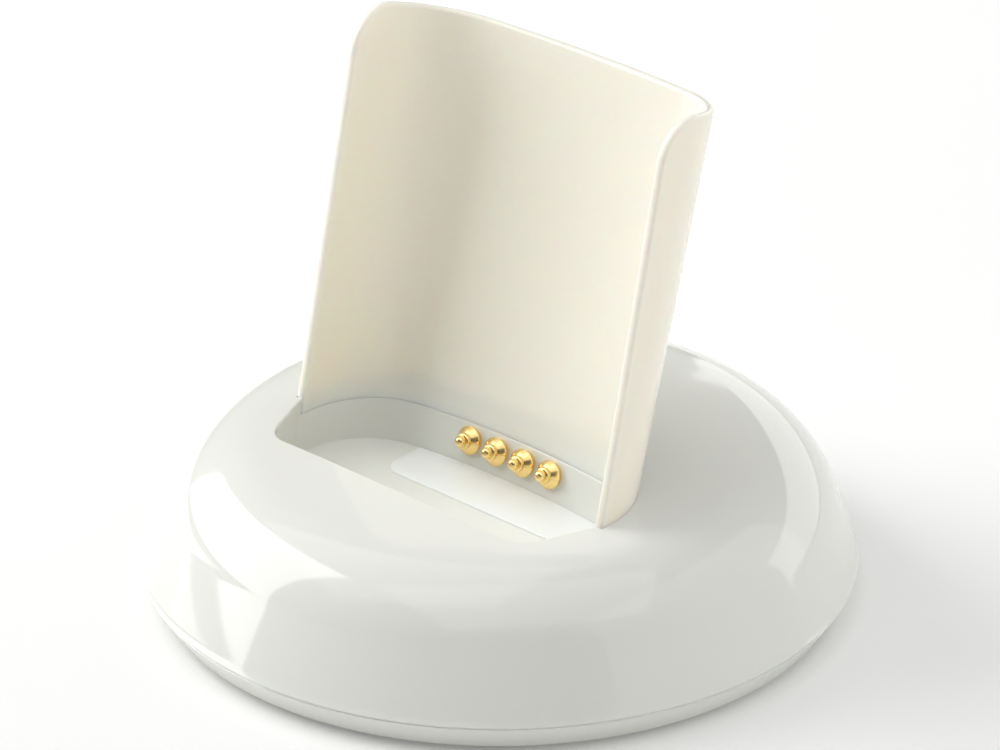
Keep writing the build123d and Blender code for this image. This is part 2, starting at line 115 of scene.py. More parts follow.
# Soft boxes: the angles at which each stands, its two sides, its power in watts, and how far it is
# rolled about its own axis and swung away from facing the stand
softBoxes = {
    "leftBox": {
        "azimuth": -87.8, "elevation": 22.1, "sides": (2033, 933), "power": 24.0, "roll": 21, "swing": 55.5,
    },
    "lowBox": {"azimuth": -73, "elevation": -1, "sides": (1767, 150), "power": 1.7, "roll": 15},
    "rightBox": {"azimuth": 121, "elevation": 26, "sides": (2500, 1600), "power": 9.2},
    "topBox": {"azimuth": 60, "elevation": 68, "sides": (1733, 1333), "power": 6.9},
    "topLeftBox": {"azimuth": -60, "elevation": 70, "sides": (1500, 1333), "power": 5.6},
    "backBox": {"azimuth": 180, "elevation": 12, "sides": (2000, 620), "power": 5.6},
}


def addWorld(setup):
    world = bpy.data.worlds.new("paleRoom")
    world.use_nodes = True
    tree = world.node_tree
    tree.nodes.clear()
    direction = tree.nodes.new("ShaderNodeTexCoord")
    split = tree.nodes.new("ShaderNodeSeparateXYZ")
    ramp = tree.nodes.new("ShaderNodeMapRange")
    glow = tree.nodes.new("ShaderNodeBackground")
    output = tree.nodes.new("ShaderNodeOutputWorld")
    ramp.inputs["To Min"].default_value = setup["worldLow"]
    ramp.inputs["To Max"].default_value = setup["worldTop"]
    glow.inputs["Color"].default_value = (*setup["worldColor"], 1)
    tree.links.new(direction.outputs["Generated"], split.inputs["Vector"])
    tree.links.new(split.outputs["Z"], ramp.inputs["Value"])
    tree.links.new(ramp.outputs["Result"], glow.inputs["Strength"])
    tree.links.new(glow.outputs["Background"], output.inputs["Surface"])
    bpy.context.scene.world = world


def addSoftBox(name, box, setup):
    away = awayAt(box["azimuth"], box["elevation"])
    data = bpy.data.lights.new(name, "AREA")
    data.shape = "RECTANGLE"
    data.size = box["sides"][0] * toMetres
    data.size_y = box["sides"][1] * toMetres
    data.energy = box["power"]
    light = bpy.data.objects.new(name, data)
    light.location = away * setup["boxDistance"] * toMetres + Vector((0, 0, setup["boxAim"] * toMetres))
    swing = Quaternion((0, 1, 0), radians(box.get("swing", 0)))
    roll = Quaternion((0, 0, 1), radians(box.get("roll", 0)))
    light.rotation_euler = (away.to_track_quat("Z", "Y") @ swing @ roll).to_euler()
    bpy.context.scene.collection.objects.link(light)


def addFloor(setup):
    half = setup["floorHalf"] * toMetres
    mesh = bpy.data.meshes.new("paleFloor")
    corners = [(-half, -half, 0), (half, -half, 0), (half, half, 0), (-half, half, 0)]
    mesh.from_pydata(corners, [], [(0, 1, 2, 3)])
    floor = bpy.data.objects.new("paleFloor", mesh)
    bpy.context.scene.collection.objects.link(floor)
    material = bpy.data.materials.new("palePaper")
    material.use_nodes = True
    shader = material.node_tree.nodes["Principled BSDF"]
    shader.inputs["Base Color"].default_value = (*setup["floorColor"], 1)
    shader.inputs["Roughness"].default_value = setup["floorRough"]
    shader.inputs["Emission Color"].default_value = (1, 1, 1, 1)
    shader.inputs["Emission Strength"].default_value = setup["floorGlow"]
    mesh.materials.append(material)


bpy.context.scene.view_settings.view_transform = studioSetup["tone"]
addWorld(studioSetup)
addFloor(studioSetup)
for boxName, boxValues in softBoxes.items():
    addSoftBox(boxName, boxValues, studioSetup)
print("studio lit")


# Rough is the mean roughness, wave or grain the strength of the surface's unevenness and its size the
# noise scale, and glow the weight of the light that travels inside a pale plastic
plasticFinishes = {
    "coolWhite": {"color": (0.80, 0.808, 0.76), "rough": 0.07, "wave": 0.02, "waveSize": 60, "glow": 0.06},
    # the pocket pad's white, lighter than the floor's: painted light for the lit strip of the pocket floor
    "litStripWhite": {"color": (0.9, 0.925, 0.9), "rough": 0.26, "wave": 0.02, "waveSize": 60, "glow": 0.06},
    "ivory": {"color": (0.925, 0.893, 0.81), "rough": 0.1, "wave": 0.02, "waveSize": 90, "glow": 0.5},
    "blackPlastic": {"color": (0.03, 0.03, 0.033), "rough": 0.35, "wave": 0.1, "waveSize": 900, "glow": 0},
    "boardGreen": {"color": (0.03, 0.2, 0.09), "rough": 0.3, "wave": 0.15, "waveSize": 1500, "glow": 0},
    "headerNylon": {"color": (0.8, 0.77, 0.68), "rough": 0.45, "wave": 0.1, "waveSize": 1200, "glow": 0},
    "ferrite": {"color": (0.05, 0.05, 0.055), "rough": 0.6, "wave": 0.3, "waveSize": 2500, "glow": 0},
    "cableGrey": {"color": (0.45, 0.45, 0.47), "rough": 0.5, "wave": 0.2, "waveSize": 1500, "glow": 0},
    "footRubber": {"color": (0.06, 0.06, 0.06), "rough": 0.75, "wave": 0.4, "waveSize": 3000, "glow": 0},
}


metalFinishes = {
    "goldPlate": {"color": (1.0, 0.73, 0.3), "rough": 0.22, "grain": 0.002, "grainSize": 2000},
    "springSteel": {"color": (0.6, 0.6, 0.61), "rough": 0.25, "grain": 0.05, "grainSize": 3000},
    "zincSteel": {"color": (0.62, 0.62, 0.63), "rough": 0.3, "grain": 0.08, "grainSize": 2000},
    "rolledSteel": {"color": (0.5, 0.5, 0.51), "rough": 0.4, "grain": 0.1, "grainSize": 900},
    "canAluminium": {"color": (0.75, 0.75, 0.77), "rough": 0.28, "grain": 0.05, "grainSize": 1500},
}

# What all plastics and all metals share: shares of the roughness and the tone between which each
# varies, and how deep the unevenness is
plasticSurface = {
    "detail": 3,
    "glossShares": (0.85, 1.15),
    "toneShares": (0.985, 1.01),
    "depth": 0.2,
    "refraction": 1.5,
    "glowReach": (2.2, 1.4, 0.8),  # how far red, green and blue light travel inside
}
metalSurface = {"detail": 2, "glossShares": (0.8, 1.25), "depth": 0.05}


def startFinish(name):
    material = bpy.data.materials.new(name)
    material.use_nodes = True
    return material, material.node_tree, material.node_tree.nodes["Principled BSDF"]


def addUnevenness(tree, shader, surface, rough, strength, scale):
    # One noise varies the roughness and raises the surface; it is returned for the tone
    place = tree.nodes.new("ShaderNodeTexCoord")
    noise = tree.nodes.new("ShaderNodeTexNoise")
    noise.inputs["Scale"].default_value = scale
    noise.inputs["Detail"].default_value = surface["detail"]
    tree.links.new(place.outputs["Object"], noise.inputs["Vector"])
    gloss = tree.nodes.new("ShaderNodeMapRange")
    gloss.inputs["To Min"].default_value = rough * surface["glossShares"][0]
    gloss.inputs["To Max"].default_value = rough * surface["glossShares"][1]
    tree.links.new(noise.outputs["Fac"], gloss.inputs["Value"])
    tree.links.new(gloss.outputs["Result"], shader.inputs["Roughness"])
    bump = tree.nodes.new("ShaderNodeBump")
    bump.inputs["Strength"].default_value = strength
    bump.inputs["Distance"].default_value = surface["depth"] * toMetres
    tree.links.new(noise.outputs["Fac"], bump.inputs["Height"])
    tree.links.new(bump.outputs["Normal"], shader.inputs["Normal"])
    return noise


def plastic(name, finish, surface):
    material, tree, shader = startFinish(name)
    noise = addUnevenness(tree, shader, surface, finish["rough"], finish["wave"], finish["waveSize"])
    tone = tree.nodes.new("ShaderNodeValToRGB")
    for element, share in zip(tone.color_ramp.elements, surface["toneShares"]):
        element.color = (*[min(1, c * share) for c in finish["color"]], 1)
    tree.links.new(noise.outputs["Fac"], tone.inputs["Fac"])
    tree.links.new(tone.outputs["Color"], shader.inputs["Base Color"])
    shader.inputs["IOR"].default_value = surface["refraction"]
    if finish["glow"]:
        shader.inputs["Subsurface Weight"].default_value = finish["glow"]
        shader.inputs["Subsurface Radius"].default_value = [r * toMetres for r in surface["glowReach"]]
        shader.inputs["Subsurface Scale"].default_value = 1.0
    return material


def metal(name, finish, surface):
    material, tree, shader = startFinish(name)
    shader.inputs["Metallic"].default_value = 1
    shader.inputs["Base Color"].default_value = (*finish["color"], 1)
    addUnevenness(tree, shader, surface, finish["rough"], finish["grain"], finish["grainSize"])
    return material


materials = {name: plastic(name, finish, plasticSurface) for name, finish in plasticFinishes.items()}
materials.update({name: metal(name, finish, metalSurface) for name, finish in metalFinishes.items()})
print("finishes made")

# Which finish stands for which material slot of the record
slotFinish = {
    "cool_white_plastic": "coolWhite",
    "ivory_plastic": "ivory",
    "gold_plate": "goldPlate",
    "spring_steel": "springSteel",
    "screw_steel": "zincSteel",
    "plate_steel": "rolledSteel",
    "rubber": "footRubber",
    "black_plastic": "blackPlastic",
    "board_green": "boardGreen",
    "header_nylon": "headerNylon",
    "ferrite": "ferrite",
    "can_aluminium": "canAluminium",
    "cable_grey": "cableGrey",
}
for part in frame["record"]["subparts"]:
    node = frame["nodes"][part["node"]]
    node.data.materials.clear()
    node.data.materials.append(materials[slotFinish[part["material_slot"]]])


def addPiece(name, points, faces, body, slotName, nodes, sharp=17, cut=None):
    # A mesh from points in millimetres, smooth except at edges that turn by more than the sharp angle
    mesh = bpy.data.meshes.new(name)
    mesh.from_pydata([[c * toMetres for c in point] for point in points], [], faces)
    work = bmesh.new()
    work.from_mesh(mesh)
    bmesh.ops.recalc_face_normals(work, faces=work.faces)
    if cut:
        cut(work)
    for face in work.faces:
        face.smooth = True
    for edge in work.edges:
        if len(edge.link_faces) == 2:
            edge.smooth = edge.calc_face_angle() < radians(sharp)
    work.to_mesh(mesh)
    work.free()
    mesh.materials.append(materials[slotFinish[slotName]])
    piece = bpy.data.objects.new(name, mesh)
    bpy.context.scene.collection.objects.link(piece)
    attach(piece, body)
    if nodes:
        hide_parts(*nodes)
    return piece


def ringFaces(rings, count):
    # Quads between each ring of points and the next
    faces = []
    for ring in range(rings - 1):
        for k in range(count):
            a, b = ring * count + k, ring * count + (k + 1) % count
            faces.append((a, b, b + count, a + count))
    return faces


def closedFaces(rings, count):
    # The same, with one face over the first ring and one over the last
    last = (rings - 1) * count
    return ringFaces(rings, count) + [tuple(range(count)), tuple(range(last, last + count))]


def reachFrom(start, direction, radius):
    # How far from start, along the direction, the circle or sphere of this radius about zero lies
    along = start.dot(direction)
    return -along + sqrt(along * along - start.dot(start) + radius**2)


# The leaning frame: x to the right, up along the back support, out towards the controller. The
# pocket's mount stands at this height and depth in it.
leanSetup = {"pocketUp": 1.0, "pocketOut": 12.0}

leanSide = Vector((1, 0, 0))
leanUp = Vector(mounts["controller_pocket"]["axis"])
leanOut = Vector((0, -leanUp.z, leanUp.y))
pocketMount = Vector(mounts["controller_pocket"]["pos_m"]) * toMillimetres
leanOrigin = pocketMount - leanUp * leanSetup["pocketUp"] - leanOut * leanSetup["pocketOut"]


def leanPoint(x, upward, out):
    return leanOrigin + Vector((x, 0, 0)) + leanUp * upward + leanOut * out


def leanAt(x, out, z):
    # The point at height z on the line that runs along the lean through x and out
    start = leanPoint(x, 0, out)
    return start + leanUp * ((z - start.z) / leanUp.z)


# The U section: half its width inside, its corner and bow radii, its wall, and the gap to its seat
channelShape = {"half": 27.2, "corner": 11.2, "bow": 140.0, "wall": 1.4, "gap": 0.02}


def channelArcs():
    # Half the turn of the bowed back, and the lengths of that half and of a corner
    half, corner, bow = channelShape["half"], channelShape["corner"], channelShape["bow"]
    spread = asin((half - corner) / (bow - corner))
    return spread, bow * spread, corner * (pi / 2 - spread)


def channelOutline(s, grow=0.0):
    # Place and outward direction at a length s along the inner face, from the middle of the back
    half, corner, bow = channelShape["half"], channelShape["corner"], channelShape["bow"]
    spread, bowLength, cornerLength = channelArcs()
    middle = corner + sqrt((bow - corner) ** 2 - (half - corner) ** 2)
    side = 1 if s >= 0 else -1
    s = abs(s)
    if s < bowLength:
        turn = s / bow
        x, out, nx, no = bow * sin(turn), middle - bow * cos(turn), sin(turn), -cos(turn)
    elif s < bowLength + cornerLength:
        turn = spread + (s - bowLength) / corner
        x = half - corner + corner * sin(turn)
        out, nx, no = corner - corner * cos(turn), sin(turn), -cos(turn)
    else:
        x, out, nx, no = half, corner + s - bowLength - cornerLength, 1.0, 0.0
    return side * (x + grow * nx), out + grow * no, side * nx, no


def channelLength(out):
    # Length s along the inner face at which its depth is out, for depths past the bow
    corner = channelShape["corner"]
    spread, bowLength, cornerLength = channelArcs()
    if out >= corner:
        return bowLength + cornerLength + out - corner
    return bowLength + corner * (pi / 2 - asin((corner - out) / corner) - spread)


housingShape = {
    "waistRadius": 45.75,
    "waistRise": 9.2,
    "waistDraft": 26.0,
    "crownShift": 1.0,  # the dome's centre lies this far behind the seam's
    "crownRise": 19.34,
    "domeRadius": 295.0,
    "seamEdge": 0.3,
    "seamTuck": 0.07,  # the rounded edge draws in this much at the seam
    "ledgeRise": 15.5,
    "ledgeRound": 0.28,  # soft top edge of the pocket wall, below the support
    "ledgeFade": 1.2,  # length over which it dies out toward the channel's ends
    "ledgeGap": 0.02,
    "seatLip": 1.2,
    "floorRise": 9.6,
    "floorRound": 0.12,
    "floorMiddle": 11.0,  # depth at which the floor's faces meet
    "crease": 13.6,  # depth at which the pocket's side walls turn inward
    "frontHalf": 23.3,
    "frontDepth": 23.25,
    "frontBulge": 1.1,
    "frontCorner": 4.6,
    "supportFront": 13.3,
    "mouthRound": 0.45,
    "seatRound": 0.07,
    "domeFade": 1.5,  # how closely the dome's rings crowd toward the mouth
    "spokeCentre": -9.0,  # the dome's rings are laid along spokes from here
    "flangeWidth": 2.0,
    "flangeHeight": 2.0,
    "flangeTaper": 0.2,
    "inletGap": 0.15,  # round the power jack
    "inletSoft": 0.25,  # bevel round its opening
    "inletDepth": 4.0,
    "inletShare": 0.9,  # the opening is cut past this share of the jack's distance to the rear
    "inletSlack": 0.01,  # so that points on the cut itself count
    "endNormal": (0.8, 0.6),  # which way the mouth's edge rounds at the end of the support's wall
    "creaseNormal": (0.98, 0.17),  # and at the crease
    "sideStart": 1.5,  # the side wall's rings begin this many seam edges above the seam
    "wallDrops": (2.0, 4.0),  # rings on the pocket's wall lie this far below the ledge
    "backSteps": 80,  # points along each stretch of half the mouth
    "endSteps": 4,
    "slantSteps": 12,
    "cornerSteps": 16,
    "frontSteps": 30,
    "seamSteps": 4,  # rings over each stretch of the surface
    "sideSteps": 16,
    "shoulderSteps": 32,
    "domeSteps": 12,
    "mouthSteps": 8,
    "ledgeSteps": 5,
    "floorSteps": 5,
}

# A point of the pocket's mouth: place in the leaning frame, outward direction, rounding, the place of
# the pocket's own wall, and its share of the ledge's rounding
mouthPoint = namedtuple("mouthPoint", "x out nx no soft innerX innerOut fade")


def mouthOutline(shape):
    # Right half of the opening in the dome, from the middle of the back to the middle of the front
    wall = channelShape["wall"] + channelShape["gap"]
    half, crease, front = channelShape["half"], shape["crease"], shape["supportFront"]
    seat, mouth = shape["seatRound"], shape["mouthRound"]

    def atMouth(x, out, nx, no, soft=mouth):
        rows.append(mouthPoint(x, out, nx, no, soft, x, out, 0.0))

    # round the back support's outer face, then across the end of its wall
    rows = []
    last = channelLength(front)
    for k in range(shape["backSteps"] + 1):
        s = last * k / shape["backSteps"]
        x, out, nx, no = channelOutline(s, wall)
        innerX, innerOut, _, _ = channelOutline(s)
        fade = min(1.0, (last - s) / shape["ledgeFade"])
        rows.append(mouthPoint(x, out, nx, no, seat, innerX, innerOut, fade))
    for k in range(1, shape["endSteps"]):
        x = half + wall * (1 - k / shape["endSteps"])
        rows.append(mouthPoint(x, front, 0.0, 1.0, seat, half, front, 0.0))
    atMouth(half, front + channelShape["gap"], *shape["endNormal"], seat)
    atMouth(half, crease, *shape["creaseNormal"])

    # slanted side wall, then the rounded corner into the bulged front
    slant = Vector((shape["frontHalf"] - half, shape["frontDepth"] - crease)).normalized()
    normal = Vector((slant.y, -slant.x))
    chord, bulge, corner = shape["frontHalf"], shape["frontBulge"], shape["frontCorner"]
    bulgeRadius = (chord**2 + bulge**2) / (2 * bulge)
    bulgeOut = shape["frontDepth"] + bulge - bulgeRadius
    start = Vector((half, crease)) - normal * corner - Vector((0, bulgeOut))
    centre = start + slant * reachFrom(start, slant, bulgeRadius - corner) + Vector((0, bulgeOut))
    cornerStart = centre + normal * corner
    for k in range(1, shape["slantSteps"] + 1):
        place = Vector((half, crease)).lerp(cornerStart, k / shape["slantSteps"])
        atMouth(place.x, place.y, normal.x, normal.y)
    first = atan2(normal.y, normal.x)
    final = atan2(centre.y - bulgeOut, centre.x)
    for k in range(1, shape["cornerSteps"] + 1):
        turn = first + (final - first) * k / shape["cornerSteps"]
        atMouth(centre.x + corner * cos(turn), centre.y + corner * sin(turn), cos(turn), sin(turn))
    for k in range(1, shape["frontSteps"] + 1):
        turn = final + (pi / 2 - final) * k / shape["frontSteps"]
        atMouth(bulgeRadius * cos(turn), bulgeOut + bulgeRadius * sin(turn), cos(turn), sin(turn))
    return rows


def cutInlet(work):
    # Opening in the rear wall for the power jack: cut out, bevelled, then carried inward as a short tunnel
    low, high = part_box("power_jack")
    gap, soft = housingShape["inletGap"] * toMetres, housingShape["inletSoft"] * toMetres
    wide = gap + soft
    rear = high.y * housingShape["inletShare"]
    for place, normal in (
        (Vector((low.x - wide, 0, 0)), Vector((1, 0, 0))),
        (Vector((high.x + wide, 0, 0)), Vector((1, 0, 0))),
        (Vector((0, 0, low.z - wide)), Vector((0, 0, 1))),
        (Vector((0, 0, high.z + wide)), Vector((0, 0, 1))),
    ):
        near = [face for face in work.faces if face.calc_center_median().y > rear]
        edges = dict.fromkeys(edge for face in near for edge in face.edges)
        corners = dict.fromkeys(corner for face in near for corner in face.verts)
        bmesh.ops.bisect_plane(work, geom=[*near, *edges, *corners], plane_co=place, plane_no=normal)

    def inOpening(point, margin):
        across = low.x - margin < point.x < high.x + margin
        return across and low.z - margin < point.z < high.z + margin and point.y > rear

    inside = [face for face in work.faces if inOpening(face.calc_center_median(), wide)]
    bmesh.ops.delete(work, geom=inside, context="FACES")
    slack = wide + housingShape["inletSlack"] * toMetres
    openLoops = [edge.link_loops[0] for edge in work.edges if edge.is_boundary]
    rim = [(loop.link_loop_next.vert, loop.vert) for loop in openLoops]
    rim = [pair for pair in rim if all(inOpening(corner.co, slack) for corner in pair)]
    for depth in ("bevel", "tunnel"):
        inward = {}
        for corner in dict.fromkeys(corner for pair in rim for corner in pair):
            x = min(max(corner.co.x, low.x - gap), high.x + gap)
            z = min(max(corner.co.z, low.z - gap), high.z + gap)
            y = corner.co.y - soft if depth == "bevel" else high.y - housingShape["inletDepth"] * toMetres
            inward[corner] = work.verts.new((x, y, z))
        for one, two in rim:
            work.faces.new((one, two, inward[two], inward[one]))
        rim = [(inward[one], inward[two]) for one, two in rim]
    bmesh.ops.recalc_face_normals(work, faces=work.faces)


def buildHousing(shape):
    # Rings of points from the flange inside the seam, up the side and over the dome, into the pocket
    # and down to its floor; every ring has one point for each point of the mouth
    low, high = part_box("upper_housing")
    seamZ, seamRadius = low.z * toMillimetres, min(high.x, -low.x) * toMillimetres
    waistZ = seamZ + shape["waistRise"]
    domeRadius = shape["domeRadius"]
    domeZ = seamZ + shape["crownRise"] - domeRadius
    draft, waist, shift = radians(shape["waistDraft"]), shape["waistRadius"], shape["crownShift"]

    # the shoulder is the arc that leaves the waist along its draft and meets the dome smoothly
    reach = waist**2 + (waistZ - domeZ) ** 2
    lead = waist * cos(draft) + (waistZ - domeZ) * sin(draft)
    shoulder = (domeRadius**2 - reach) / (2 * (domeRadius - lead))
    shoulderR = waist - shoulder * cos(draft)
    shoulderZ = waistZ - shoulder * sin(draft)
    browTurn = atan2(shoulderZ - domeZ, shoulderR)
    browRadius = shoulderR + shoulder * cos(browTurn)

    # the side wall is a parabola that comes to the waist along its draft; this is its radius halfway
    flareMiddle = (seamRadius + 3 * waist + shape["waistRise"] * tan(draft)) / 4

    right = mouthOutline(shape)
    left = [row._replace(x=-row.x, nx=-row.nx, innerX=-row.innerX) for row in right[-2:0:-1]]
    loop = right + left

    def domeHit(x, out):
        start = leanPoint(x, 0, out) - Vector((0, shift, domeZ))
        return leanPoint(x, reachFrom(start, leanUp, domeRadius), out)

    hits = [domeHit(row.x, row.out) for row in loop]
    edges = [domeHit(row.x + row.nx * row.soft, row.out + row.no * row.soft) for row in loop]
    centre = Vector((0, shape["spokeCentre"]))
    brows = []
    for point in edges:
        ray = (Vector((point.x, point.y)) - centre).normalized()
        start = centre - Vector((0, shift))
        brows.append(start + ray * reachFrom(start, ray, browRadius))
    turns = [atan2(brow.y, brow.x) for brow in brows]

    rings = []

    def lathe(radius, z, share=1.0):
        rings.append([(radius * cos(t), shift * share + radius * sin(t), z) for t in turns])

    # flange, rounded edge at the seam, side wall and shoulder
    edge, flange = shape["seamEdge"], seamRadius - shape["flangeWidth"]
    lathe(flange - shape["flangeTaper"], seamZ + shape["flangeHeight"], 0)
    lathe(flange, seamZ, 0)
    for k in range(shape["seamSteps"] + 1):
        turn = pi / 2 * k / shape["seamSteps"]
        tuck = shape["seamTuck"] * (1 - cos(turn))
        lathe(seamRadius - edge + edge * sin(turn) - tuck, seamZ + edge - edge * cos(turn), 0)
    for k in range(1, shape["sideSteps"] + 1):
        share = k / shape["sideSteps"]
        if share * shape["waistRise"] < edge * shape["sideStart"]:
            continue
        a, b, c = seamRadius, flareMiddle, waist
        radius = a * (1 - share) * (1 - 2 * share) + 4 * b * share * (1 - share) + c * share * (2 * share - 1)
        lathe(radius, seamZ + share * shape["waistRise"], share)
    for k in range(1, shape["shoulderSteps"] + 1):
        turn = draft + (browTurn - draft) * k / shape["shoulderSteps"]
        lathe(shoulderR + shoulder * cos(turn), shoulderZ + shoulder * sin(turn))

    # dome, then the mouth's rounded edge
    for k in range(1, shape["domeSteps"] + 1):
        share = 1 - (1 - k / shape["domeSteps"]) ** shape["domeFade"]
        ring = []
        for brow, point in zip(brows, edges):
            flat = brow.lerp(Vector((point.x, point.y - shift)), share)
            ring.append((flat.x, flat.y + shift, domeZ + sqrt(domeRadius**2 - flat.length_squared)))
        rings.append(ring)
    for k in range(1, shape["mouthSteps"] + 1):
        t = k / shape["mouthSteps"]
        ring = []
        for row, point, hit in zip(loop, edges, hits):
            below = hit - leanUp * row.soft
            ring.append(point * (1 - t) ** 2 + hit * 2 * t * (1 - t) + below * t * t)
        rings.append(ring)

    # seat, ledge, pocket wall and the rounding into the floor
    ledgeZ, floorZ = seamZ + shape["ledgeRise"], seamZ + shape["floorRise"]
    for z in (ledgeZ + shape["seatLip"], ledgeZ):
        rings.append([leanAt(row.x, row.out, z) for row in loop])

    def pocketRing(z, grow, fades=False):
        ring = []
        for row in loop:
            share = row.fade if fades else 1
            ring.append(leanAt(row.innerX + row.nx * grow * share, row.innerOut + row.no * grow * share, z))
        rings.append(ring)

    for k in range(shape["ledgeSteps"] + 1):
        turn, soft = pi / 2 * k / shape["ledgeSteps"], shape["ledgeRound"]
        pocketRing(ledgeZ - soft * (1 - cos(turn)) - shape["ledgeGap"], soft * (1 - sin(turn)), fades=True)
    for drop in shape["wallDrops"]:
        pocketRing(ledgeZ - drop, 0)
    pocketRing(floorZ + shape["floorRound"], 0)
    for k in range(1, shape["floorSteps"] + 1):
        turn, soft = pi / 2 * k / shape["floorSteps"], shape["floorRound"]
        pocketRing(floorZ + soft * (1 - sin(turn)), -soft * (1 - cos(turn)))
    points = [point for ring in rings for point in ring]
    faces = ringFaces(len(rings), len(loop))
    last = len(points)
    floorRim = range(last - len(loop), last)
    faces += [(k, k + 1 if k + 1 < last else floorRim[0], last) for k in floorRim]
    points.append(leanAt(0, shape["floorMiddle"], floorZ))
    addPiece("domedHousing", points, faces, "stand", "cool_white_plastic", ["upper_housing"], cut=cutInlet)
    print("housing:", len(points), "points, shoulder radius", round(shoulder, 2))


buildHousing(housingShape)

# Thin pad on the pocket floor, under the controller's heel; its lighter white is painted light for the lit strip
# of the floor
padShape = {
    "left": 15.7,  # along the channel from the middle of its back
    "right": 20.6,
    "front": 7.5,  # depth of its front edge
    "corner": 2.6,
    "thick": 0.25,
    "edgeRound": 0.12,
    "wallGap": 0.12,
    "lift": 0.02,  # off the floor, so that the two don't share a face
    "backSteps": 40,
    "cornerSteps": 12,
    "edgeSteps": 4,
}


def buildPad(shape):
    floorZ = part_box("upper_housing")[0].z * toMillimetres + housingShape["floorRise"]
    first, length = -shape["left"], shape["left"] + shape["right"]
    steps, quarter = shape["backSteps"], shape["cornerSteps"]
    outline = [channelOutline(first + length * k / steps, -shape["wallGap"]) for k in range(steps + 1)]
    for side in (1, -1):
        edge = outline[steps][0] if side > 0 else -outline[0][0]
        centreX, centreOut = side * (edge - shape["corner"]), shape["front"] - shape["corner"]
        for k in range(quarter + 1):
            turn = pi / 2 * (k if side > 0 else quarter - k) / quarter
            nx, no = side * cos(turn), sin(turn)
            outline.append((centreX + nx * shape["corner"], centreOut + no * shape["corner"], nx, no))
    rings = [[leanAt(x, out, floorZ + shape["lift"]) for x, out, nx, no in outline]]
    for k in range(shape["edgeSteps"] + 1):
        turn = pi / 2 * k / shape["edgeSteps"]
        inset = shape["edgeRound"] * (1 - cos(turn))
        z = floorZ + shape["thick"] - shape["edgeRound"] * (1 - sin(turn))
        rings.append([leanAt(x - nx * inset, out - no * inset, z) for x, out, nx, no in outline])
    points = [point for ring in rings for point in ring]
    faces = closedFaces(len(rings), len(outline))
    pad = addPiece("litStripPad", points, faces, "stand", "cool_white_plastic", [])
    # the pad's lighter white is painted light for the lit strip of the floor
    pad.data.materials[0] = materials["litStripWhite"]
    print("pocket pad laid")


buildPad(padShape)


supportShape = {
    "height": 55.0,
    "footDepth": 13.34,  # depth of its side walls at the height of the channel's start
    "topDepth": 15.84,
    "frontCorner": 6.2,
    "edgeRound": 0.55,
    "footDrop": 12.0,  # how far below that start the foot is followed, before the ledge cuts it
    "columns": 150,
    "frontRows": 22,
    "cornerRows": 16,
    "rimSteps": 8,
    "sharp": 30,
}


def frontLine(shape):
    # The side walls' front edge and its rounded top corner: depth, height and outward direction, and
    # the same moved in by the edge's rounding
    height, corner, edge = shape["height"], shape["frontCorner"], shape["edgeRound"]
    step = (shape["topDepth"] - shape["footDepth"]) / height
    lean = atan2(step, 1)
    cornerUp = height - corner
    cornerOut = shape["footDepth"] + step * cornerUp - corner / cos(lean)
    lowest, line = -shape["footDrop"], []
    for k in range(shape["frontRows"] + 1):
        upward = lowest + (cornerUp + corner * sin(-lean) - lowest) * k / shape["frontRows"]
        line.append((shape["footDepth"] + step * upward, upward, cos(lean), -sin(lean)))
    for k in range(1, shape["cornerRows"] + 1):
        turn = -lean + (pi / 2 + lean) * k / shape["cornerRows"]
        line.append((cornerOut + corner * cos(turn), cornerUp + corner * sin(turn), cos(turn), sin(turn)))
    return line, [(out - edge * a, upward - edge * b) for out, upward, a, b in line]


def buildSupport(shape):
    wall, edge, columns = channelShape["wall"], shape["edgeRound"], shape["columns"]
    line, inner = frontLine(shape)
    rows, wide = len(inner), columns + 1
    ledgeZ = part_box("upper_housing")[0].z * toMillimetres + housingShape["ledgeRise"]

    def place(s, upward, depth):
        # depth is measured from the inner face through the wall
        x, out, _, _ = channelOutline(s, depth)
        point = leanPoint(x, upward, out)
        return point if point.z > ledgeZ else leanAt(x, out, ledgeZ)

    def columnLength(row, k):
        return channelLength(inner[row][0]) * (2 * k / columns - 1)

    # inner and outer face
    points, faces, starts = [], [], []
    for depth in (0.0, wall):
        start = len(points)
        starts.append(start)
        for row in range(rows):
            points += [place(columnLength(row, k), inner[row][1], depth) for k in range(wide)]
        for row in range(rows - 1):
            for k in range(columns):
                a = start + row * wide + k
                faces.append((a, a + 1, a + 1 + wide, a + wide))

    # rim: from the inner face round to the outer face, along the left front, the top and the right front
    border = [(row, 0, line[row][2], line[row][3], -1) for row in range(rows)]
    border += [(rows - 1, k, 0.0, 1.0, 0) for k in range(1, columns)]
    border += [(row, columns, line[row][2], line[row][3], 1) for row in reversed(range(rows))]
    arc = [pi / 2 * j / shape["rimSteps"] for j in range(shape["rimSteps"] + 1)]
    section = [(edge * sin(turn), edge * (1 - cos(turn))) for turn in arc[1:]]
    section += [(edge * cos(turn), wall - edge + edge * sin(turn)) for turn in arc[:-1]]
    across = []
    for row, k, outward, upwards, side in border:
        s, upward = columnLength(row, k), inner[row][1]
        first = len(points)
        points += [
            place(s + side * outward * reach, upward + upwards * reach, depth) for reach, depth in section
        ]
        across.append([starts[0] + row * wide + k, *range(first, len(points)), starts[1] + row * wide + k])
    for one, two in zip(across, across[1:]):
        faces += zip(one, one[1:], two[1:], two)

    # foot, hidden in its seat
    foot = [starts[0] + k for k in range(wide)] + across[-1][1:-1]
    foot += [starts[1] + k for k in reversed(range(wide))] + across[0][-2:0:-1]
    faces.append(tuple(foot))
    addPiece("leaningSupport", points, faces, "stand", "ivory_plastic", ["back_support"], shape["sharp"])
    print("support:", len(points), "points")


buildSupport(supportShape)


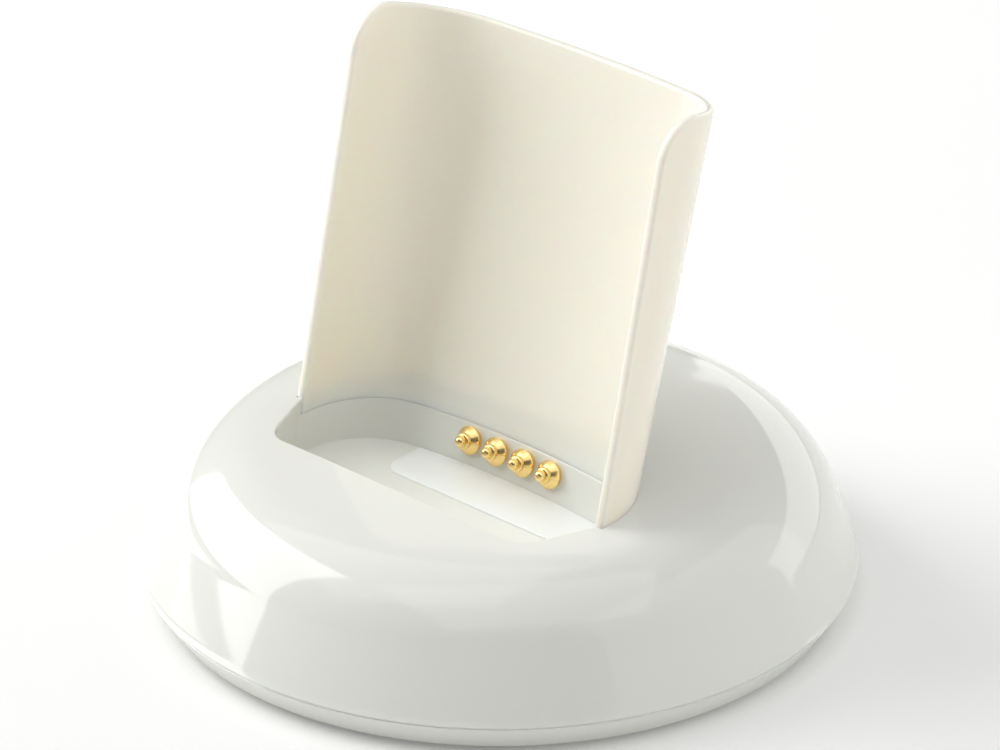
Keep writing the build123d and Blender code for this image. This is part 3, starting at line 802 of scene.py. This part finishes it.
contactShape = {
    "collarRadius": 2.025,
    "collarHeel": 1.72,  # the collar narrows to this radius at its back
    "collarBack": 1.1,
    "collarEdge": (0.02, 0.05, 0.12),  # its rounded edge: how far out, and where it starts and ends
    "collarCrown": 0.8,
    "noseRadius": 1.2,
    "noseReach": 1.45,
    "noseRound": 0.4,
    "noseCrease": 0.04,
    "noseBore": 0.6,  # reach at which the bore round the tip ends
    "slideGap": 0.03,
    "barrelRadius": 1.12,
    "barrelBack": 7.5,
    "barrelTail": 0.3,
    "tipRadius": 0.8,
    "tipReach": 2.35,
    "tipRound": 0.65,
    "tipWaist": 0.5,
    "headBack": 2.0,
    "headTail": 0.2,
    "steps": 64,
    "collarSteps": 12,
    "noseSteps": 8,
    "tipSteps": 12,
    "sharp": 35,
}


def roundedEnd(radius, reach, rounding, steps):
    # The end of a turned piece, from its side round to its face, as radius and reach
    turns = [pi / 2 * k / steps for k in range(steps + 1)]
    return [(radius - rounding * (1 - cos(turn)), reach - rounding * (1 - sin(turn))) for turn in turns]


def turned(name, profile, centre, body, node, shape):
    # A turned piece: the profile is a list of radius and reach along the contact's axis
    points, steps = [], shape["steps"]
    for radius, reach in profile:
        for k in range(steps):
            turn = 2 * pi * k / steps
            points.append(centre + leanOut * reach + (leanSide * cos(turn) + leanUp * sin(turn)) * radius)
    faces = closedFaces(len(profile), steps)
    addPiece(name, points, faces, body, "gold_plate", [node], shape["sharp"])


def buildContact(number, shape):
    low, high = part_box("contact_plunger_%d" % number)
    x = (low.x + high.x) / 2 * toMillimetres
    tip = Vector(mounts["charging_contacts"]["pos_m"]) * toMillimetres
    centre = Vector((x, tip.y, tip.z)) - leanOut * shape["tipReach"]
    collar, crown, nose = shape["collarRadius"], shape["collarCrown"], shape["noseRadius"]
    back, tube, heel = shape["barrelBack"], shape["barrelRadius"], shape["collarBack"]
    proud, start, end = shape["collarEdge"]
    barrel = [(shape["barrelTail"], -back), (tube, -back), (tube, -heel)]
    barrel += [(shape["collarHeel"], -heel), (collar, -end), (collar + proud, -start)]
    for k in range(shape["collarSteps"] + 1):  # domed front of the collar, up to the nose
        radius = collar - (collar - nose) * k / shape["collarSteps"]
        barrel.append((radius, crown * (collar**2 - radius**2) / (collar**2 - nose**2)))
    barrel.append((nose, crown + shape["noseCrease"]))
    barrel += roundedEnd(nose, shape["noseReach"], shape["noseRound"], shape["noseSteps"])
    bore = shape["tipRadius"] + shape["slideGap"]
    barrel += [(bore, shape["noseReach"]), (bore, shape["noseBore"])]
    turned("contactSleeve%d" % number, barrel, centre, "stand", "contact_barrel_%d" % number, shape)
    radius, head = shape["tipRadius"], shape["headBack"]
    plunger = [(shape["headTail"], -head), (radius, -head), (radius, shape["tipWaist"])]
    plunger += roundedEnd(radius, shape["tipReach"], shape["tipRound"], shape["tipSteps"])
    body, node = "plunger_%d" % number, "contact_plunger_%d" % number
    turned("contactTip%d" % number, plunger, centre, body, node, shape)


coilShape = {
    "wire": 0.22,
    "radius": 0.77,
    "length": 4.2,  # from the wire's centre at one end to its centre at the other
    "turns": 6,
    "endGap": 0.03,
    "steps": 16,
    "sides": 8,
    "sharp": 60,
}


def buildCoil(number, shape):
    # The spring behind a plunger, wound out from its fixed end at the barrel's closed end at one fixed length; the
    # real spring shortens toward that end as the plunger goes in
    joint = next(row for row in frame["joints"] if row["name"] == "contact_press_%d" % number)
    fixedEnd = Vector(joint["deforming_nodes"][0]["fixed_end_m"])
    wire, sides, first = shape["wire"] / 2, shape["sides"], shape["endGap"] + shape["wire"] / 2
    count = shape["turns"] * shape["steps"]
    start, points = fixedEnd * toMillimetres, []
    for k in range(count + 1):
        turn = 2 * pi * k / shape["steps"]
        away = leanSide * cos(turn) + leanUp * sin(turn)
        middle = start + leanOut * (first + shape["length"] * k / count) + away * shape["radius"]
        for corner in range(sides):
            around = 2 * pi * corner / sides
            points.append(middle + (away * cos(around) + leanOut * sin(around)) * wire)
    faces = closedFaces(count + 1, sides)
    name, node = "contactCoil%d" % number, "contact_spring_%d" % number
    coil = addPiece(name, points, faces, "stand", "spring_steel", [node], shape["sharp"])
    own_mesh(coil)


for number in range(1, 1 + len(frame["joints"])):
    buildContact(number, contactShape)
    buildCoil(number, coilShape)
print("contacts turned")
